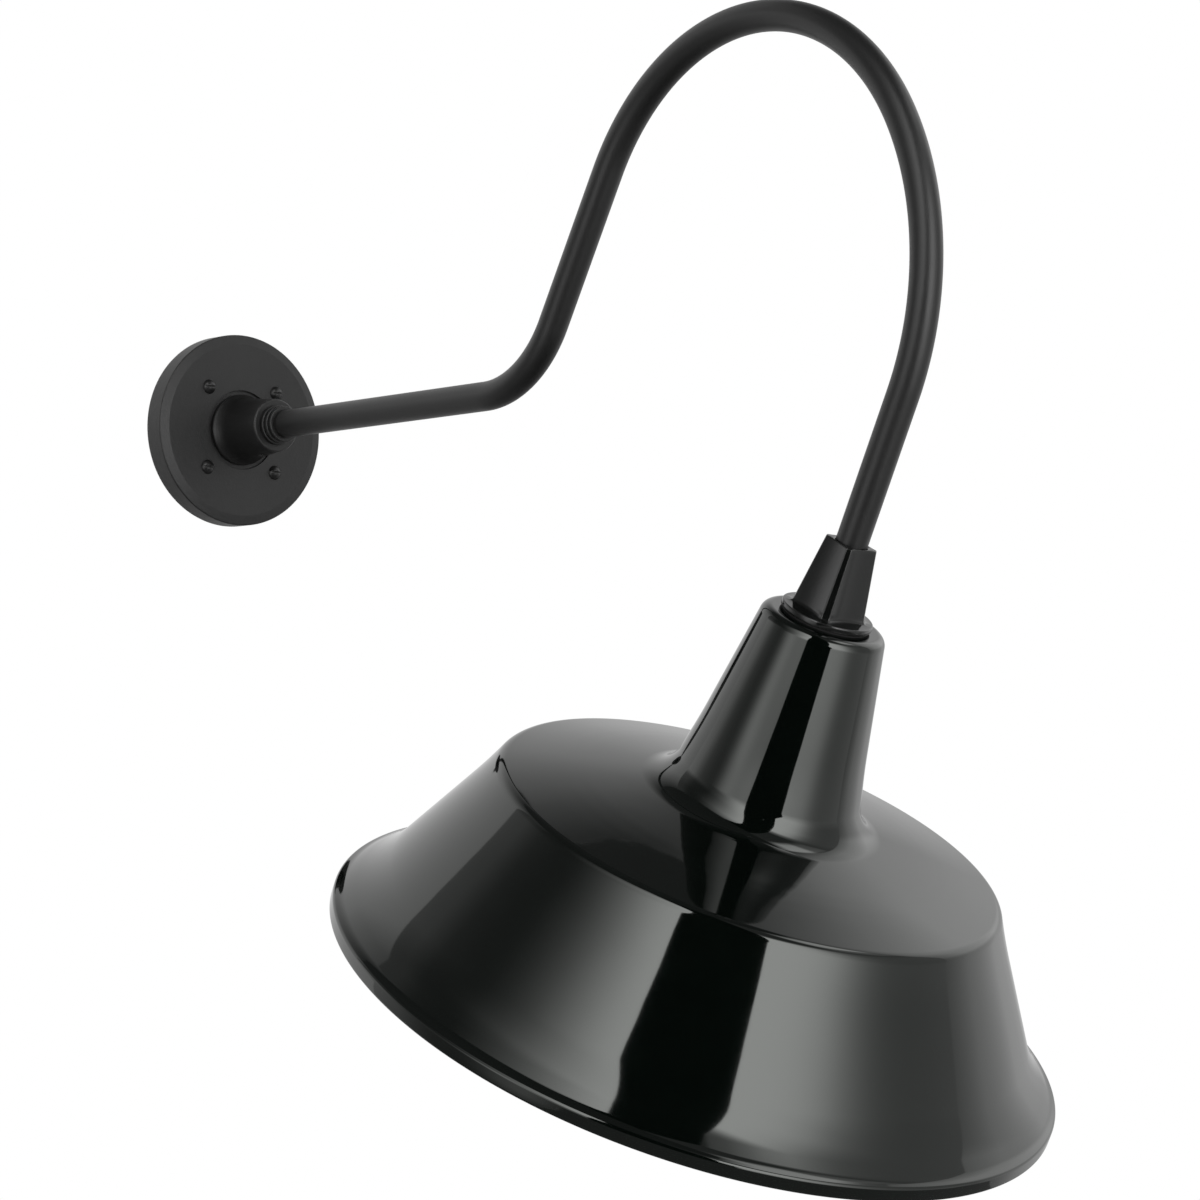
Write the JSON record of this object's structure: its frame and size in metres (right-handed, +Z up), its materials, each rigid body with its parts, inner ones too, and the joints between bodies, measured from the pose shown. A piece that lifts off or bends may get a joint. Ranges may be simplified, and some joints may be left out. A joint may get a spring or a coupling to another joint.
{
  "type": "barn light",
  "caption": "Gooseneck wall light: round wall plate, bent pipe arm, finned fitter cap and a tilted black enamelled warehouse shade.",
  "frame": {"origin": "centre of the fixing screws' circle, in the plane of the wall", "axes": "+X out of the wall along the arm, +Z up, +Y to the left seen from the wall"},
  "size_m": [0.8112, 0.5, 0.7757],
  "materials": {
    "satin_black": "satin",
    "black_enamel": "gloss",
    "cap_black": "semi-gloss",
    "rubber": "matte",
    "plated_steel": "satin",
    "brass": "satin",
    "porcelain": "gloss",
    "fibre": "matte",
    "wire_black": "satin",
    "wire_white": "satin",
    "wire_green": "satin",
    "copper": "satin"
  },
  "bodies": {
    "wall_mount": {"wall_plate": "satin_black", "plate_gasket": "rubber", "plate_screws": "satin_black", "arm_hub": "satin_black", "hub_locknut": "plated_steel", "hub_set_screw": "satin_black", "ground_screw": "wire_green", "ground_lead": "wire_green"},
    "gooseneck": {"gooseneck_tube": "satin_black", "arm_collar": "satin_black", "arm_bushing": "rubber", "line_lead": "wire_black", "neutral_lead": "wire_white", "lead_ends": "copper"},
    "lamp_head": {"finned_cap": "cap_black", "cap_set_screw": "satin_black", "neck_gasket": "rubber", "shade": "black_enamel", "neck_washer": "fibre", "neck_ring_nut": "plated_steel", "socket_bracket": "plated_steel", "bracket_screws": "plated_steel", "socket_nipple": "brass", "nipple_nut": "brass", "lampholder_cover": "porcelain", "cover_screws": "plated_steel", "lampholder_body": "porcelain", "contact_block": "porcelain", "screw_shell": "plated_steel", "centre_contact": "brass", "terminal_screws": "brass", "line_tail": "wire_black", "neutral_tail": "wire_white"}
  },
  "joints": [
    {"name": "arm_turn", "type": "hinge", "parent": "wall_mount", "child": "gooseneck", "pos_m": [0.04, 0, 0], "axis": [1, 0, 0], "range_deg": [-90, 90]},
    {"name": "head_turn", "type": "hinge", "parent": "gooseneck", "child": "lamp_head", "pos_m": [0.71284, 0, -0.14027], "axis": [0.4493, 0, 0.8934], "range_deg": [-180, 180]}
  ]
}
